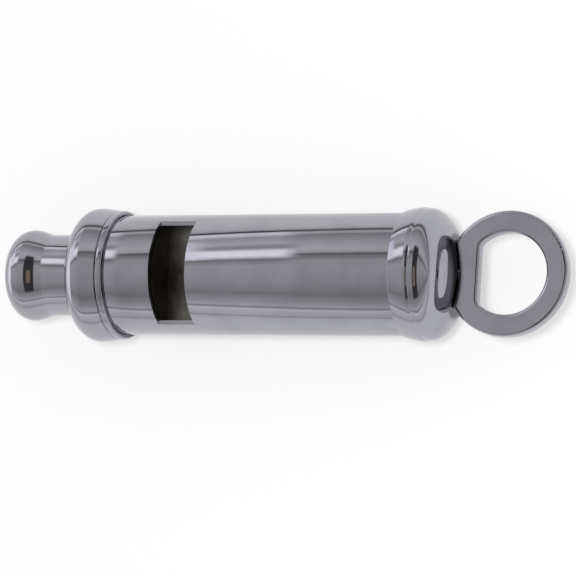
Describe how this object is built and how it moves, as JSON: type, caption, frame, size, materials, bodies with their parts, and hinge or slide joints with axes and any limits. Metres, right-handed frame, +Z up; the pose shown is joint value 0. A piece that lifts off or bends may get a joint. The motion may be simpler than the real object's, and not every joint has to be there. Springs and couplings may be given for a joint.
{
  "type": "training whistle",
  "caption": "Slim tubular metal training whistle with a beaded mouthpiece, cross-cut sound windows, a domed end cap and a flat swivelling lanyard eye.",
  "frame": {"origin": "on the resting surface, under the middle of the whistle's length", "axes": "+X along the barrel from the mouthpiece to the lanyard eye, +Y across the barrel, +Z up, out of the front sound window"},
  "size_m": [0.0684, 0.0158, 0.0157],
  "materials": {
    "plated_brass": "bright dark nickel plate over brass, mirror smooth",
    "plated_insert": "the same plate, dull and dark inside the barrel",
    "plated_eye": "bright dark nickel plate, flat blanked ring with soft edges"
  },
  "bodies": {
    "whistle": {"mouthpiece": "plated_brass", "barrel": "plated_brass", "windway_block": "plated_insert", "chamber_divider": "plated_insert", "long_chamber_stop": "plated_insert", "short_chamber_stop": "plated_insert", "end_cap": "plated_brass"},
    "eye": {"lanyard_eye": "plated_eye", "eye_washer": "plated_insert"}
  },
  "joints": [
    {"name": "eye_swivel", "type": "hinge", "parent": "whistle", "child": "eye", "pos_m": [0.01976, 0, 0.00786], "axis": [1, 0, 0], "continuous": true}
  ]
}
